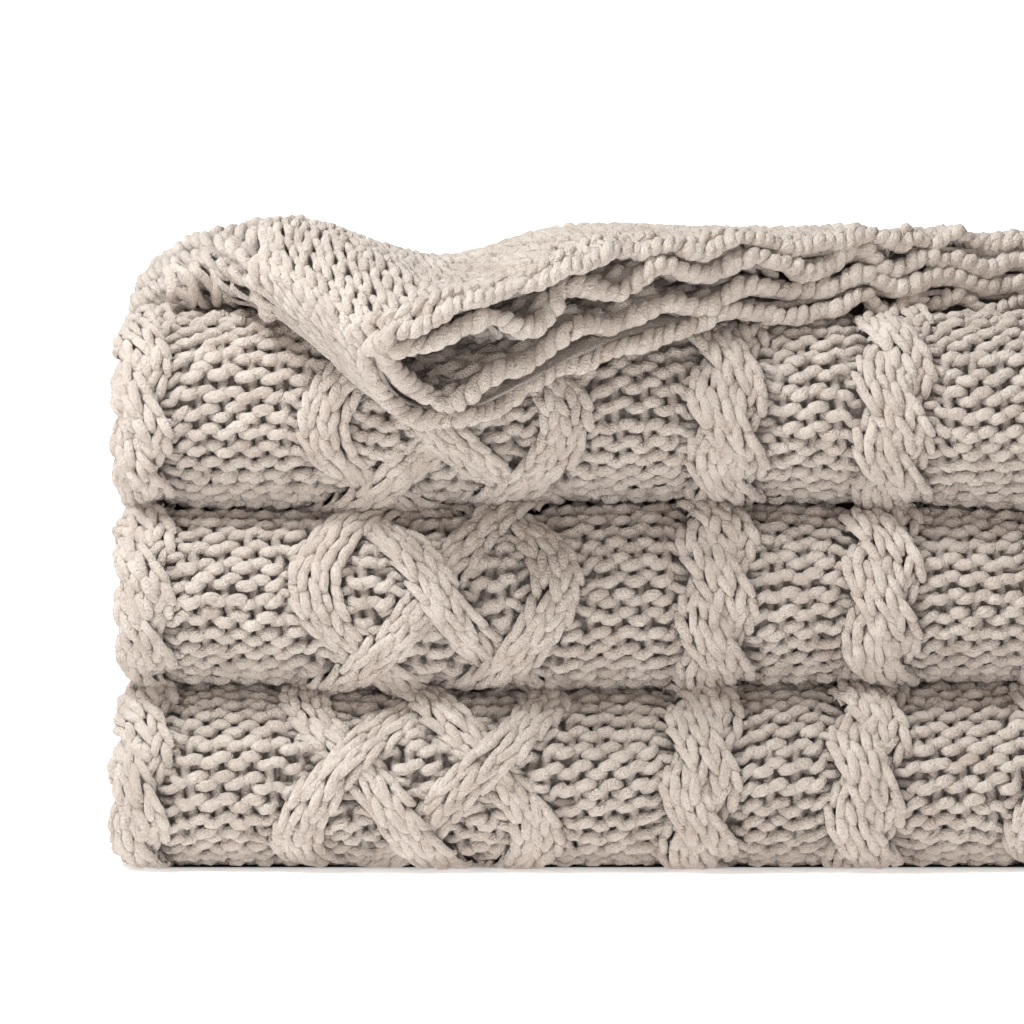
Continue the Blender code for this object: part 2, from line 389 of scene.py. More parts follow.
def build(name, points, quads, painted_lightness=None):
    """One smooth mesh object from arrays of points and of four-cornered faces.

    painted_lightness is the painted shade of each point: 0 is the darkest, where yarn lies deep in the
    knitting, and 1 the full colour, on top.
    """
    mesh = bpy.data.meshes.new(name)
    mesh.vertices.add(len(points))
    mesh.vertices.foreach_set("co", np.asarray(points, float).ravel())
    mesh.loops.add(quads.size)
    mesh.loops.foreach_set("vertex_index", quads.astype(np.int32).ravel())
    mesh.polygons.add(len(quads))
    mesh.polygons.foreach_set("loop_start", np.arange(0, quads.size, 4, dtype=np.int32))
    mesh.polygons.foreach_set("loop_total", np.full(len(quads), 4, dtype=np.int32))
    mesh.polygons.foreach_set("use_smooth", np.ones(len(quads), dtype=bool))
    if painted_lightness is not None:
        attribute = mesh.attributes.new("painted_lightness", "FLOAT", "POINT")
        attribute.data.foreach_set("value", np.asarray(painted_lightness, float))
    mesh.update(calc_edges=True)
    piece = bpy.data.objects.new(name, mesh)
    bpy.context.scene.collection.objects.link(piece)
    return piece


def tube(middle, up, radius, angle):
    """Rings of points round lines of points: at angle 0 beside the line, a right angle above it."""
    way = np.gradient(middle, axis=-2)
    side = unit(np.cross(way, up))
    top = unit(np.cross(side, way))
    ring = side[..., None, :] * np.cos(angle)[:, None] + top[..., None, :] * np.sin(angle)[:, None]
    return middle[..., None, :] + ring * radius[..., None, None]


class Yarn:
    """Collects strands of yarn, each a tube along a path on the cloth, for one piece.

    Strands that lie on the cloth can be left open beneath: only their outer side is made.
    """

    def __init__(self, sides, whole=False):
        if whole:
            self.angle = 2 * pi * np.arange(sides) / sides
        else:
            self.angle = np.linspace(-WRAP, pi + WRAP, sides)
        self.whole = whole
        self.points = []
        self.quads = []
        self.painted_lightness = []
        self.count = 0

    def keep(self, points, height):
        """Takes rings of points, (..., samples, sides, 3), and the height of each point."""
        index = np.arange(points.size // 3).reshape(points.shape[:-1])
        if self.whole:
            index = np.concatenate((index, index[..., :1]), axis=-1)
        here = index[..., :-1, :]
        onward = index[..., 1:, :]
        quads = np.stack((here[..., :-1], onward[..., :-1], onward[..., 1:], here[..., 1:]), axis=-1)
        self.points.append(points.reshape(-1, 3))
        self.quads.append(quads.reshape(-1, 4) + self.count)
        # Painted shade: a point is painted darker the deeper it lies, so yarn deep in the knitting and the
        # underside of each strand look shaded.
        self.painted_lightness.append(smooth((height.ravel() - DEEP) / -DEEP))
        self.count += points.size // 3

    def add(self, across, along, height, radius, on):
        """Strands of equal sample count on the knitting: arrays of (strands, samples)."""
        strands = np.broadcast_arrays(across, along, height, radius)
        across, along, height, radius = (np.atleast_2d(a) for a in strands)
        middle = on(across, along, height)
        outward = on(across, along, height + 0.001) - middle
        self.keep(tube(middle, outward, radius, self.angle),
                  height[:, :, None] + radius[:, :, None] * np.sin(self.angle))

    def add_line(self, middle, up, radius):
        """One strand along points in space, its ends drawn in, with the direction that is up at each."""
        radius = radius + 0 * middle[:, 0]
        radius[[0, -1]] *= 0.05
        points = tube(middle, up, radius, self.angle)
        self.keep(points, 0 * points[..., 0])

    def build(self, name):
        points = np.vstack(self.points)
        points[:, 2] = np.maximum(points[:, 2], FLOOR_GAP)
        return build(name, points, np.vstack(self.quads), np.concatenate(self.painted_lightness))


def wander(places, step, size):
    """A smooth random line: values at the places, changing over the step."""
    knots = np.arange(places.min() - 2 * step, places.max() + 3 * step, step)
    return np.interp(places, knots, random.normal(0, size, len(knots)))


# ---- the purl ground
GROUND = -0.0040         # height of the middle of its yarn
LOOP_REACH = 0.0053      # how far its loops reach up and down the cloth from their row
LOOP_SWAY = 0.0015       # how far they swell over their neighbours
LOOP_LIFT = 0.0019       # how far their tops and bottoms stand above their sides
LOOP_TILT = 0.0008
UNEVEN = 0.0005          # how far the yarn strays from its stitch
PLAIN_END = 0.008        # beside a cable, the loops fade into a bar over this much
PLAIN_LIFT = 0.0010
END_DIVE = 0.003         # the bar dips under the cable
LADDER_CHANCE = 0.75     # of a ladder strand between two rows, beside a cable
LADDER_LENGTH = 0.010    # and up to 4 mm more
LADDER_RISE = 0.0036     # of its place above the row
LADDER_YARN = 0.0017     # its radius
TUCK = 0.003             # yarn runs on this far under what covers its end


def ladder(yarn, edge, way, length, along, sink, on):
    """A strand between two rows, from under the cable at an edge, to the right if way is 1."""
    t = np.linspace(0, 1, 6)
    x = edge + way * (-TUCK + (length + TUCK) * t)
    y = along + (LADDER_RISE + 0.0008 * random.normal()) * (1 - 0.3 * t ** 2)
    z = -0.0046 - END_DIVE * (1 - smooth(t / 0.3)) - 0.0022 * smooth((t - 0.7) / 0.3) + sink
    yarn.add(x, y, z, LADDER_YARN, on)


def purl_row(yarn, left, right, along, samples, ladders=(True, True), sink=0.0, on=knit):
    """One row of the purl ground between two cables or edges, with ladder strands at its ends."""
    count = max(int(round((right - left + 2 * TUCK) / STITCH * samples)), 6)
    s = np.linspace(left - TUCK, right + TUCK, count)
    turn = 2 * pi * (s + 0.0006 * sin(along * 330) + 0.1 * along) / STITCH
    ease = np.ones(count)
    dive = np.zeros(count)
    for wanted, distance in ((ladders[0], s - left), (ladders[1], right - s)):
        if wanted:
            ease *= smooth((distance - 0.001) / PLAIN_END)
            dive += 1 - smooth((distance + TUCK) / 0.005)
    loops = 1.10 * np.cos(turn) - 0.10 * np.cos(3 * turn)
    x = s + ease * LOOP_SWAY * np.sin(2 * turn) + wander(s, STITCH, UNEVEN)
    y = along - ease * (LOOP_REACH + wander(s, STITCH, 0.0003)) * loops + wander(s, STITCH, UNEVEN)
    y += ease * (0.0005 + wander(s, STITCH, 0.0002)) * np.sin(2 * turn)
    z = GROUND + ease * (LOOP_LIFT * np.cos(2 * turn) + LOOP_TILT * np.sin(turn)) + (1 - ease) * PLAIN_LIFT
    z += wander(s, STITCH, 0.0004) - END_DIVE * dive + sink
    r = STRAND * (1 - 0.25 * (1 - ease)) * (1 + 0.04 * ease * np.cos(2 * turn) + wander(s, STITCH, 0.05))
    r[[0, -1]] *= 0.15
    yarn.add(x, y, z, r, on)
    for wanted, edge, way in ((ladders[0], left, 1), (ladders[1], right, -1)):
        if wanted and random.random() < LADDER_CHANCE:
            length = min(LADDER_LENGTH + 0.004 * random.random(), right - left)
            ladder(yarn, edge, way, length, along, sink, on)


# ---- plain stitches
LEG_LIFT = 0.0006        # of the middle of a stitch's leg
LEG_ENDS = 0.0020        # how far both its ends dip
LEG_TUCK = 0.0015        # and its far end besides, under the next leg
LEG_TAPER = 0.40         # how much thinner its ends are
LEG_YARN = 0.00218       # radius of a cable's yarn
LEG_LEAN = 0.21
LEG_LENGTH = 1.50 * ROW
LEG_DIP = 1.25           # a cable's legs dip this many times as far
COLUMNS = 5              # of legs in a strand of a cable
COLUMN_WIDTH = 0.0038    # from one column to the next
CROWN = 0.0020           # how far a strand's edges lie below its middle
STAGGER = 0.45 * ROW     # every other column lies this much further on


def lozenges(yarn, across, along, height, slope, length, radius, samples, on, dip):
    """Legs of stitches: short spindle strands, each leaning by its slope, its far end tucked in."""
    t = np.linspace(-1, 1, samples)
    legs = np.broadcast_arrays(across, along, height, slope, length, radius)
    across, along, height, slope, length, radius = (a[:, None] for a in legs)
    lean = np.arctan(slope)
    x = across + length / 2 * t * np.sin(lean)
    y = along + length / 2 * t * np.cos(lean)
    z = height + LEG_LIFT - dip * (LEG_ENDS * t ** 4 + LEG_TUCK * ((1 + t) / 2) ** 3)
    yarn.add(x, y, z, radius * (1 - LEG_TAPER * np.abs(t) ** 3), on)


def strand(yarn, along, across, height, limits, samples, on):
    """One strand of a cable: columns of stitch legs beside its middle line, one leg a row.

    The legs lean in turn to either side of the strand's way, and none lies outside the limits.
    """
    slope = np.gradient(across, along)[:, None]
    way = np.arctan(slope)
    odd = np.arange(COLUMNS) % 2
    column = (np.arange(COLUMNS) - (COLUMNS - 1) / 2) * COLUMN_WIDTH
    x = across[:, None] + column + odd * STAGGER * slope
    y = along[:, None] + odd * STAGGER
    lean = np.tan(way + LEG_LEAN * np.where(odd, 1, -1) * np.cos(way))
    crown = height[:, None] - CROWN * (column / (COLUMNS * COLUMN_WIDTH / 2)) ** 2
    length = LEG_LENGTH / np.cos(way) + 0 * x
    thick = LEG_YARN * (0.35 + 0.65 * np.cos(way)) + 0 * x
    kept = (x > limits[0]) & (x < limits[1])
    n = int(kept.sum())
    if n:
        wobble = random.normal(0, 1, (6, n))
        lozenges(yarn, x[kept] + 0.0003 * wobble[0], y[kept] + 0.0006 * wobble[1],
                 crown[kept] + 0.0003 * wobble[2], lean[kept] + 0.05 * wobble[3],
                 length[kept] * (1 + 0.06 * wobble[5]), thick[kept] * (1 + 0.08 * wobble[4]),
                 samples, on, LEG_DIP)


# ---- the pattern
DRIFT = 0.0045 / (FRONTS[1] - FRONTS[0])  # the pattern runs a little askew over the stack
LATTICE_TURN = 0.034     # along the cloth between two crossings of the lattice
REACH = 0.0455           # how far the lattice's strands swing from its middle
ROPE_TURN = 0.029        # along the cloth between two crossings of a rope cable
ROPE_HALF = 0.0054       # how far its strands swing from its middle
COVER = 0.0085           # half of what a lattice's strand hides
ROPE_COVER = 0.0125      # half of what a rope cable hides
NARROW = 0.004           # narrower strips of ground aren't knitted
FULL_START = 0.34        # where the ground begins to swell, as a share of a band from its middle
FULL_EASE = 0.12


def lattice_strands(along):
    """Middle lines of a lattice's four strands, from its middle, and their heights."""
    result = []
    for k in range(4):
        angle = pi * (along / LATTICE_TURN + 1 + 2 * k) / 4
        x = -REACH * (0.9 * np.cos(angle) + 0.1 * np.cos(3 * angle))
        slope = REACH * pi / 4 / LATTICE_TURN * (0.9 * np.sin(angle) + 0.3 * np.sin(3 * angle))
        inner = np.exp(-(x / 0.014) ** 2)
        outer = np.exp(-((np.abs(x) - 0.031) / 0.011) ** 2)
        result.append((x, 0.0006 + 0.0024 * np.tanh(4 * slope) * (outer - inner)))
    return result


def rope_strands(along):
    """Middle lines of a rope cable's two strands, from its middle, and their heights."""
    angle = pi * along / ROPE_TURN
    return [(way * ROPE_HALF * np.cos(angle), 0.0004 + way * 0.0026 * np.sin(angle)) for way in (1, -1)]


CABLES = (
    # middle from the left corner of the front face, share of the drift, strands, how far in it starts
    (-0.0095, 0, rope_strands, 0.0),
    (0.114 - BAND / 2, 1, lattice_strands, LATTICE_TURN),
    (0.220 - BAND / 2, 1, rope_strands, 0.0),
    (0.2825 - BAND / 2, 1, rope_strands, 0.0),
    (0.391 - BAND / 2, 1, lattice_strands, 0.0),
)


def knit_band(purl, cables, first, last, around, shifts, edges, samples=12, spindle=6, on=knit, full=0.0):
    """Knits the pattern over part of the cloth: between two distances along.

    Each cable's pattern starts its shift past the distance around. Near both ends the ground swells.
    """
    rows = np.arange(ceil(first / ROW), floor(last / ROW) + 1) * ROW
    limits = (edges[0] - 0.004, edges[1] - 0.003)
    hidden = []
    for (middle, drifts, strands_at, start), shift in zip(CABLES, shifts):
        line = middle + drifts * DRIFT * (rows - FRONTS[0])
        strands = strands_at(rows - around + start - shift)
        if len(rows) > 2:
            for x, height in strands:
                strand(cables, rows, line + x, height, limits, spindle, on)
        if len(strands) == 2:
            hidden.append((line, ROPE_COVER))
        else:
            hidden += [(line + x, COVER) for x, _ in strands]
    for i, row in enumerate(rows):
        swell = full * smooth((abs(row - around) / (last - first) - FULL_START) / FULL_EASE)
        place = edges[0]
        for low, high in sorted((line[i] - half, line[i] + half) for line, half in hidden):
            if low - place > NARROW and place < edges[1]:
                purl_row(purl, place, min(low, edges[1]), row, samples,
                         (place > edges[0], low < edges[1]), swell, on)
            place = max(place, high)
        if edges[1] - place > NARROW:
            purl_row(purl, place, edges[1], row, samples, (place > edges[0], False), swell, on)


# ---- materials
YARN_COLOUR = (0.775, 0.675, 0.598)
YARN_DARK = (0.56, 0.452, 0.385)
PAINTED_SHADE_SHARE = 0.45        # painted shade: where yarn lies deep, its colour is this share of the dark colour


def set_inputs(node, **values):
    """Sets sockets by their names, with _ for a space."""
    for name, value in values.items():
        node.inputs[name.replace("_", " ")].default_value = value
    return node


def new_material(name):
    material = bpy.data.materials.new(name)
    material.use_nodes = True
    return material, material.node_tree.nodes["Principled BSDF"]


def chenille(name, colour, dark):
    """Soft matt chenille: fine pile over uneven dye, with painted shade where it lies deep in the knitting.
    """
    material, shader = new_material(name)
    nodes, link = material.node_tree.nodes, material.node_tree.links.new
    set_inputs(shader, Roughness=0.95, Sheen_Weight=0.25, Sheen_Roughness=0.6)
    place = nodes.new("ShaderNodeNewGeometry")
    broad = set_inputs(nodes.new("ShaderNodeTexNoise"), Scale=90.0, Detail=3.0)
    fine = set_inputs(nodes.new("ShaderNodeTexNoise"), Scale=1050.0, Detail=3.0)
    for noise in (broad, fine):
        link(place.outputs["Position"], noise.inputs["Vector"])
    both = nodes.new("ShaderNodeMath")
    both.operation = "MULTIPLY_ADD"
    both.inputs[1].default_value = 0.6
    link(fine.outputs["Fac"], both.inputs[0])
    link(broad.outputs["Fac"], both.inputs[2])
    tint = nodes.new("ShaderNodeValToRGB")
    for element, position, shown in zip(tint.color_ramp.elements, (0.50, 1.0), (dark, colour)):
        element.position = position
        element.color = (*shown, 1)
    link(both.outputs[0], tint.inputs["Fac"])
    # Painted shade: by the point attribute, the colour mixes down to a share of the dark colour where yarn
    # lies deep.
    painted_lightness = nodes.new("ShaderNodeAttribute")
    painted_lightness.attribute_name = "painted_lightness"
    deep = nodes.new("ShaderNodeMix")
    deep.data_type = "RGBA"
    deep.inputs["A"].default_value = (*(PAINTED_SHADE_SHARE * part for part in dark), 1)
    link(painted_lightness.outputs["Fac"], deep.inputs["Factor"])
    link(tint.outputs["Color"], deep.inputs["B"])
    link(deep.outputs["Result"], shader.inputs["Base Color"])
    bump = set_inputs(nodes.new("ShaderNodeBump"), Strength=1.0, Distance=0.0016)
    link(fine.outputs["Fac"], bump.inputs["Height"])
    link(bump.outputs["Normal"], shader.inputs["Normal"])
    return material


yarn_material = chenille("oatmeal_chenille", YARN_COLOUR, YARN_DARK)


def finish_piece(piece):
    piece.data.materials.append(yarn_material)
    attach(piece, "root")
    return piece


def make(yarn, name):
    finish_piece(yarn.build(name))


# ---- the cloth itself, under the yarn
SHEET_HALF = 0.0026      # half its thickness where it shows
SHEET_LOWER = 0.0048     # its outer side lies this much lower where yarn covers it
SHEET_LOWER_INSIDE = 0.0016  # and its inner side this much
COVER_END = 0.018        # yarn covers it up to here past the right fold
PLY_SAMPLES = (22, 13, 22, 8, 22, 8, 22)  # round each ply and fold of the section
FRONT_HALF = 0.030       # half a front loop, along the sheet
BACK_HALF = 0.026
BARE_PAINTED_LIGHTNESS = 0.85              # painted lightness of the sheet where it shows, from the deep shade at 0 to the full colour at 1
# Painted shade of the sheet: where yarn covers it on the loose end, where yarn covers it elsewhere, and
# between the free plies.
PAINTED_LIGHTNESS_UNDER_LOOSE_YARN = 0.66
PAINTED_LIGHTNESS_UNDER_YARN = 0.28
PAINTED_LIGHTNESS_BETWEEN_PLIES = 0.30
MOUTH = 0.060            # how far in the painted shade between the free plies reaches


def sheet_runs():
    """Places along the sheet where it has points: closer together round the loops."""
    runs = []
    at = 0.0
    halves = [(run, FRONT_HALF) for run in FRONT_RUNS] + [(run, BACK_HALF) for run in BACK_RUNS]
    for middle, half in sorted(halves):
        runs.append(np.linspace(at, middle - half - 0.004, 7))
        runs.append(np.linspace(middle - half, middle + half, 11))
        at = middle + half + 0.006
    runs.append(np.linspace(at, TOTAL_RUN, 24))
    return np.concatenate(runs)[:, None]


def cloth_sheet():
    """The panel as a closed thin sheet through all its folds, lower where yarn lies on it, with painted shade
    there and between the free plies.
    """
    starts = np.concatenate(([0], PLY_ENDS[:-1]))
    place = joined([np.linspace(*ply) for ply in zip(starts, PLY_ENDS, PLY_SAMPLES)])[None, :]
    run = sheet_runs()
    covered = 1 - smooth((place - FACE_END - COVER_END) / 0.006)
    upper = SHEET_HALF - SHEET_LOWER * covered
    lower = -SHEET_HALF - SHEET_LOWER_INSIDE * (1 - smooth((place - FACE_END) / 0.01))
    points = np.vstack([cloth(place, run, level).reshape(-1, 3) for level in (upper, lower)])
    count = run.size * place.size
    index = np.arange(count).reshape(run.size, place.size)
    corners = (index[:-1, :-1], index[:-1, 1:], index[1:, 1:], index[1:, :-1])
    top = np.stack(corners, axis=-1).reshape(-1, 4)
    bottom = top[:, ::-1] + count
    rim = np.concatenate((index[0, :], index[1:, -1], index[-1, -2::-1], index[-2:0:-1, 0]))
    after = np.roll(rim, -1)
    sides = np.stack((after, rim, rim + count, after + count), axis=-1)
    # Painted shade: the sheet is painted dark under the yarn, so its gaps look shaded, and dark between the
    # free plies near the edge.
    painted_shade_under_yarn = np.where(run > STACK_RUN, PAINTED_LIGHTNESS_UNDER_LOOSE_YARN, PAINTED_LIGHTNESS_UNDER_YARN)
    shade = BARE_PAINTED_LIGHTNESS + (painted_shade_under_yarn - BARE_PAINTED_LIGHTNESS) * covered
    mouth = smooth((run - TOTAL_RUN + MOUTH) / 0.020) + 0 * place
    upper_mouth = mouth * smooth((place - BACK_LEFT) / 0.01)
    upper_shade = shade - (shade - PAINTED_LIGHTNESS_BETWEEN_PLIES) * upper_mouth
    lower_shade = BARE_PAINTED_LIGHTNESS - (BARE_PAINTED_LIGHTNESS - PAINTED_LIGHTNESS_BETWEEN_PLIES) * mouth
    painted_lightness = np.concatenate((upper_shade.ravel(), lower_shade.ravel()))
    return build("throw_cloth", points, np.vstack((top, bottom, sides)), painted_lightness)


sheet = cloth_sheet()
finish_piece(sheet)
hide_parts("throw")

# ---- loops and folds
DEGREE = pi / 180
LEFT_REACH = -0.047      # how far the front's knitting goes round the left fold
RIGHT_REACH = 0.010      # and round the right fold
BAND_MORE = 0.004        # a band of knitting goes this far past its half loop

# Angle above a loop's front where each cable's pattern starts, for each loop from the lowest up.
FRONT_ANGLES = ((20, -41, 0, 30, 20), (0, 12, -10, 20, -20), (30, -6, 10, -20, 0))
BACK_ANGLES = ((20, 0, 0, 30, 20), (0, 20, -10, 20, -20), (30, -20, 10, -20, 0))


def loops(side, middles, radii, angles, edges, sides, beneath=0.0, **style):
    """Knits the loops of one side, and gives where each one's knitting starts and ends."""
    bands = []
    for k, middle in enumerate(middles):
        radius = radii[k] + BAND / 2
        reach = pi / 2 * radius + BAND_MORE
        first = middle - reach - (beneath if k == 0 else 0)
        last = middle + reach
        purl, cables = Yarn(sides), Yarn(sides)
        shifts = [angle * DEGREE * radius for angle in angles[k]]
        knit_band(purl, cables, first, last, middle, shifts, edges, **style)
        make(purl, f"{side}_purl_{k}")
        make(cables, f"{side}_cables_{k}")
        bands.append((first, last))
    return bands


def left_folds(bands):
    """Knits the left folds of the layers, between the bands of the front loops."""
    purl, cables = Yarn(5), Yarn(5)
    starts = [0.0] + [last for _, last in bands]
    ends = [first for first, _ in bands] + [TOP_START + 0.006]
    for first, last in zip(starts, ends):
        knit_band(purl, cables, first, last, first, [0] * len(CABLES), (LEFT_REACH, 0.002),
                  samples=9, spindle=5)
    make(purl, "left_purl")
    make(cables, "left_cables")


front_bands = loops("front", FRONTS, FRONT_RADII, FRONT_ANGLES, (LEFT_REACH, FACE + RIGHT_REACH), 6,
                    beneath=0.010, full=0.0016)
loops("back", BACKS, [BACK_RADIUS] * 3, BACK_ANGLES, (0.0, BACK_LEFT - 0.002), 5,
      samples=9, spindle=5, on=knit_back)
left_folds(front_bands)

# ---- the loose end on top
# It shows plain knitting, smooth side out, in columns of Vs: coarse on the hump at the left, and
# fine to the right of a row of chunky edge stitches. The columns lean where it is pulled askew.
TURNED_X = -0.147        # where the fine knitting starts, in the part's frame
ASKEW = 0.62             # lean of the columns at the left
ASKEW_END = -0.045       # and where they stand straight
ASKEW_EASE = 0.08
WIDER = 0.0008           # columns lie this much further apart at the right
WIDER_START = 0.12
WIDER_EASE = 0.04
# height counts for the even columns, the others lie deeper; thick is a share of the columns' spacing,
# and stagger and length are shares of a row.
Gauge = namedtuple("Gauge", "column row noise stagger height deeper lean thick length dip")
COARSE = Gauge(0.0054, 0.0074, 1.0, 0.5, -0.0020, 0.0022, 0.22, 0.42, 1.40, 1.2)
FINE = Gauge(0.0031, 0.0049, 0.6, 0.10, -0.0013, 0.0005, 0.20, 0.51, 1.60, 1.7)


def even_columns(width):
    """Places across, evenly spaced on the surface where the loose end is spread open."""
    across = np.linspace(-0.058, BACK_LEFT - 0.001, 1500)
    line = knit_back(across, TOP_START + 0.7 * LOOSE_LENGTH, 0)
    count = summed(steps(line) / (width + WIDER * smooth((across[1:] - WIDER_START) / WIDER_EASE)))
    return np.interp(np.arange(0, count[-1]), count, across)


def plain_legs(yarn, gauge):
    """The legs of the plain stitches of one gauge, on its own side of the chunky row."""
    rows = np.arange(TOP_START + 0.002, TOP_START + LOOSE_LENGTH - 0.003, gauge.row)[:, None]
    columns = even_columns(gauge.column)[None, :]
    odd = np.arange(columns.size) % 2 + 0 * rows
    across = columns + 0 * rows
    along = rows + odd * gauge.row * gauge.stagger
    along = along + 0.0010 * np.sin(40 * across) + 0.0006 * np.sin(97 * across)
    middle = knit_back(across, along, 0)
    x = middle[..., 0]
    spacing = np.linalg.norm(np.diff(middle, axis=1, append=middle[:, -1:] + 0.003), axis=-1)
    wobble = random.normal(0, gauge.noise, (5,) + across.shape)
    kept = (x < TURNED_X + 0.002) if gauge is COARSE else (x > TURNED_X - 0.002)
    askew = -ASKEW * (1 - smooth((x - ASKEW_END + ASKEW_EASE) / ASKEW_EASE))
    lean = askew + gauge.lean * np.where(odd > 0, 1, -1) + 0.10 * wobble[3]
    height = gauge.height - gauge.deeper * odd + 0.0004 * wobble[2]
    thick = np.clip(spacing * gauge.thick, 0.0015, 0.0024) * (1 + 0.07 * wobble[4])
    lozenges(yarn, (across + 0.0004 * wobble[0])[kept], (along + 0.0008 * wobble[1])[kept], height[kept],
             lean[kept], gauge.row * gauge.length, thick[kept], 5, knit_back, gauge.dip)


loose_legs = Yarn(5)
for stitch in (COARSE, FINE):
    plain_legs(loose_legs, stitch)
make(loose_legs, "loose_top")

# ---- between the open plies
FIRST_ROW = 0.0095       # from the free edge to the first row of the ground
DEEPEST_ROW = 0.042      # how far in the rows go in the innermost fold
DEEP_ROW = 0.033         # and between the other plies
INSIDE_SHADE = 0.55
# A place on a ply, its side (1 outwards of its fold, -1 within), where rows start and end from that
# place, and their height.
INNERMOST = (INNER_LEFT, -1, -0.13, 0.14, 0.0024)
OTHERS = (
    (FACE_START, 1, 0.0, 0.10, 0.0),
    (FACE_START, -1, -0.01, 0.17, 0.0018),
    (BACK_LEFT, -1, -0.17, 0.01, 0.0018),
    (INNER_LEFT, 1, -0.16, 0.17, 0.0024),
)


def near_edge(middle, way):
    """Points on one side of a ply near the free edge: across from the middle place, along from the edge."""
    return lambda across, along, height: cloth(middle + across, TOTAL_RUN - along, way * (height + PLY / 2))


def loose_inside():
    """The purl ground on the plies' sides that show in the loose end's mouth, in deeper painted shade."""
    yarn = Yarn(5)
    for depth, sides in ((DEEPEST_ROW, (INNERMOST,)), (DEEP_ROW, OTHERS)):
        for row in np.arange(FIRST_ROW, depth, ROW):
            for middle, way, left, right, height in sides:
                purl_row(yarn, left, right, row, 9, (False, False), height, near_edge(middle, way))
    # Painted shade: the yarn in the mouth keeps only this share of its painted lightness.
    yarn.painted_lightness = [INSIDE_SHADE * level for level in yarn.painted_lightness]
    make(yarn, "loose_inside")


loose_inside()

# ---- the tuft beneath the hump
CURLS = 9
CURL_LEFT = 0.0180       # in the fold's terms, as are the next three
CURL_FRONT = -0.0655
CURL_INSIDE = -0.0580
CURL_TOP = 0.2335
CURL_SPREAD = 0.0240     # from the first strand to the last
CURL_DROP = 0.0195       # how far they hang down
CURL_BULGE = 0.0058      # how far they stand out
CURL_YARN = 0.0021


def curled_yarn():
    """A tangled curl of the fold's yarn that hangs out beneath the loose end's left side."""
    curl = Yarn(7, whole=True)
    t = np.linspace(0, 1, 26)
    for i, share in enumerate(np.linspace(0, 1, CURLS)):
        stray = random.normal(0, 1, 4)
        bulge = CURL_BULGE + 0.0036 * sin(pi * share) + 0.0010 * np.clip(stray[0], -1.5, 1.0)
        slant = 0.0060 + 0.0030 * stray[1]
        lower = 0.0080 * (1 - share) ** 2
        top = CURL_TOP - 0.0030 * share - lower
        drop = CURL_DROP + 0.0015 * stray[2] - 0.0010 * share - 0.8 * lower
        back = smooth((t - 0.72) / 0.28)
        x = CURL_LEFT + CURL_SPREAD * share + slant * smooth(t) + 0.0022 * np.sin(7 * t + 2.3 * i)
        y = CURL_FRONT - bulge * np.sin(pi * np.clip(1.25 * t, 0, 1)) + 0.020 * back
        z = top - drop * (t - 0.12 * np.sin(2 * pi * t + 0.8 * stray[3])) + 0.004 * back
        middle = np.column_stack((x, y, z))
        inside = np.column_stack((x, CURL_INSIDE + 0 * t, (top - drop / 2) + 0 * t))
        curl.add_line(middle - ORIGIN, middle - inside, CURL_YARN * (1 + wander(t, 0.12, 0.10)))
    make(curl, "curled_yarn")


curled_yarn()


# ---- edges
def rope(yarn, place, run, lift, samples=12, thick=0.0026, core=0.0020, pitch=0.0054, lively=1.0, seen=0.0):
    """A two-strand twisted edge along places of the cloth: where each row's or stitch's yarn turns.

    Each strand swells where it passes the side that shows: 0 along the cloth, a right angle above it.
    """
    length = summed(steps(cloth(place, run, lift)))
    at = np.linspace(0, length[-1], int(length[-1] / (2 * pitch) * samples))
    place, run, lift = (np.interp(at, length, a + 0 * length) for a in (place, run, lift))
    middle = cloth(place, run, lift)
    way = unit(np.gradient(middle, axis=0))
    top = cloth(place, run, lift + 0.001) - middle
    top = unit(top - way * (top * way).sum(axis=1)[:, None])
    side = np.cross(way, top)
    middle = middle + side * (lively * wander(at, 0.02, 0.0006))[:, None]
    middle = middle + top * (lively * wander(at, 0.012, 0.0005))[:, None]
    for start in (0, pi):
        angle = pi * at / pitch + start + wander(at, 0.01, 0.35)
        swell = (1 + lively * wander(at, 0.005, 0.09)) * (0.80 + 0.30 * np.cos(angle - seen) ** 2)
        out = core * (1 + lively * wander(at, 0.004, 0.16))
        line = middle + side * (out * np.cos(angle))[:, None] + top * (out * np.sin(angle))[:, None]
        yarn.add_line(line, top, thick * swell)


EDGE_PLACES = np.linspace(0.001, PANEL_WIDTH - 0.001, 900)
EDGE_RUNS = np.linspace(0.001, TOTAL_RUN - 0.001, 900)
TOP_SPLIT = BACK_LEFT + 0.004  # the free edge changes its yarn here, left of the top ply,
INNER_SPLIT = FACE_END + 0.006  # and here, past the right fold
FREE_EDGES = (
    # from, to, thickness and core of the twist, half its pitch
    (0.0, TOP_SPLIT, 0.00225, 0.0016, 0.0046),
    (TOP_SPLIT, INNER_SPLIT, 0.00225, 0.0016, 0.0048),
    (INNER_SPLIT, PANEL_WIDTH, 0.0026, 0.0018, 0.0053),
)


